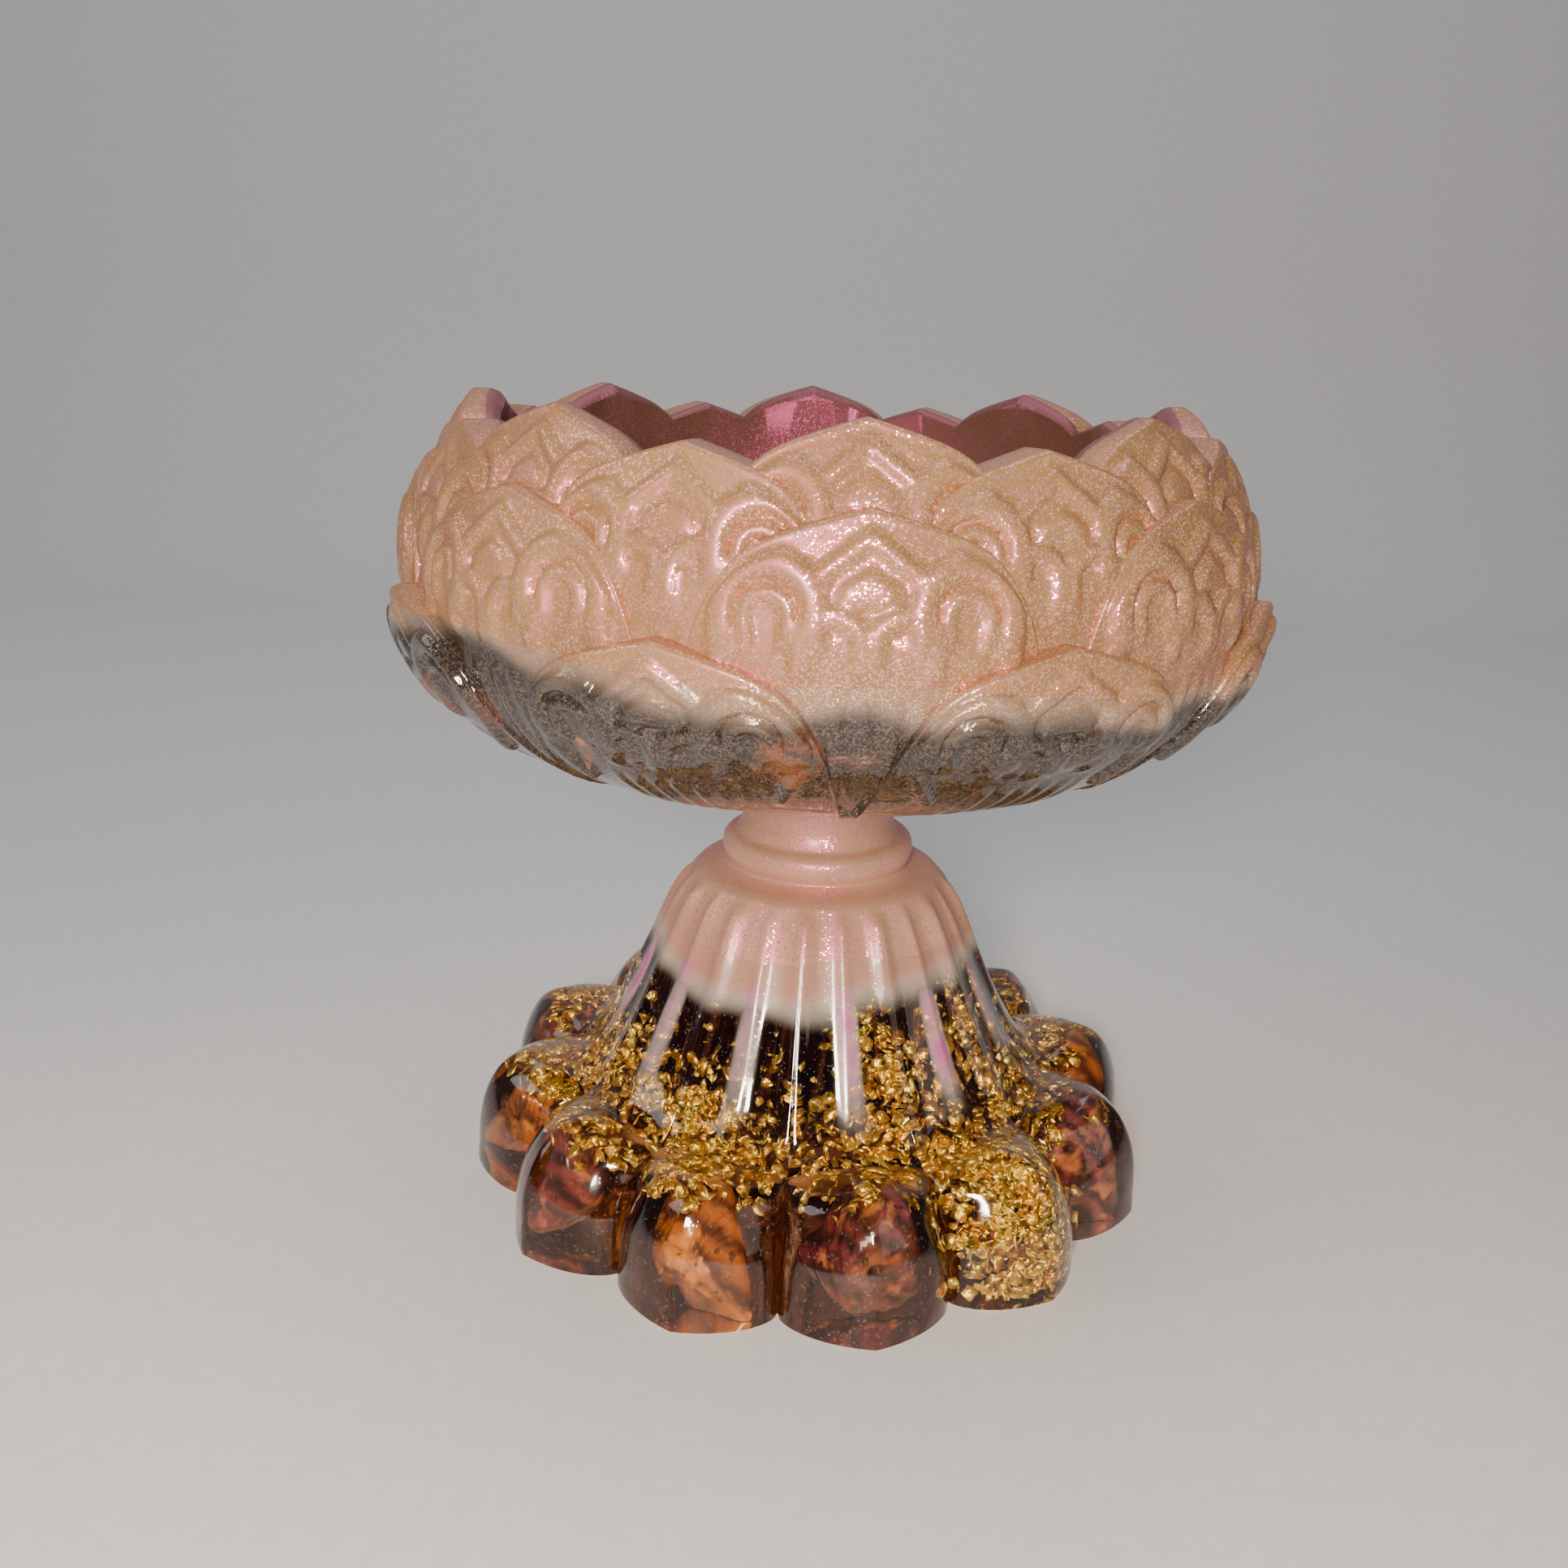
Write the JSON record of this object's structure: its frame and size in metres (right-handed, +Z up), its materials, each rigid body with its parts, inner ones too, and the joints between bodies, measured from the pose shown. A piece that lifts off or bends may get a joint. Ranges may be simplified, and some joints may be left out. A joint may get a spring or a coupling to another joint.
{
  "type": "resin lotus pedestal bowl",
  "caption": "Footed lotus-flower bowl of cast resin: tiers of overlapping petals on a short neck and a fluted, lobed base, with stone chips set in clear resin.",
  "frame": {"origin": "centre of the foot's flat underside, on the axis through foot, neck and bowl", "axes": "+Z up the axis to the bowl's rim; -Y is the front, the side seen from the usual view"},
  "size_m": [0.0968, 0.0968, 0.092],
  "materials": {
    "pearl_resin": "opaque epoxy resin with champagne and rose mica, satin gloss",
    "clear_resin": "clear amber-tinted epoxy resin, glossy, with gold leaf flakes and fine bubbles in it",
    "bond_resin": "thin line of cured epoxy between the two castings",
    "amber_stone": "tumbled orange-brown amber and tiger-eye chip",
    "amethyst_stone": "tumbled dark purple amethyst chip"
  },
  "bodies": {
    "root": {"foot_amethyst_chip_1": "amethyst_stone", "foot_amber_chip_2": "amber_stone", "foot_amethyst_chip_3": "amethyst_stone", "foot_amber_chip_4": "amber_stone", "foot_amethyst_chip_5": "amethyst_stone", "foot_amber_chip_6": "amber_stone", "foot_amethyst_chip_7": "amethyst_stone", "foot_amber_chip_8": "amber_stone", "foot_amethyst_chip_9": "amethyst_stone", "foot_amber_chip_10": "amber_stone", "foot_amethyst_chip_11": "amethyst_stone", "foot_amber_chip_12": "amber_stone", "bowl_amber_chip_13": "amber_stone", "bowl_amethyst_chip_14": "amethyst_stone", "bowl_amber_chip_15": "amber_stone", "bowl_amber_chip_16": "amber_stone", "bowl_amethyst_chip_17": "amethyst_stone", "bowl_amethyst_chip_18": "amethyst_stone", "bowl_amber_chip_19": "amber_stone", "bowl_amber_chip_20": "amber_stone", "bowl_amethyst_chip_21": "amethyst_stone", "bowl_amber_chip_22": "amber_stone", "foot_clear_pour": "clear_resin", "foot_pearl_pour": "pearl_resin", "bond_film": "bond_resin", "bowl_clear_pour": "clear_resin", "bowl_pearl_pour": "pearl_resin"}
  },
  "joints": []
}
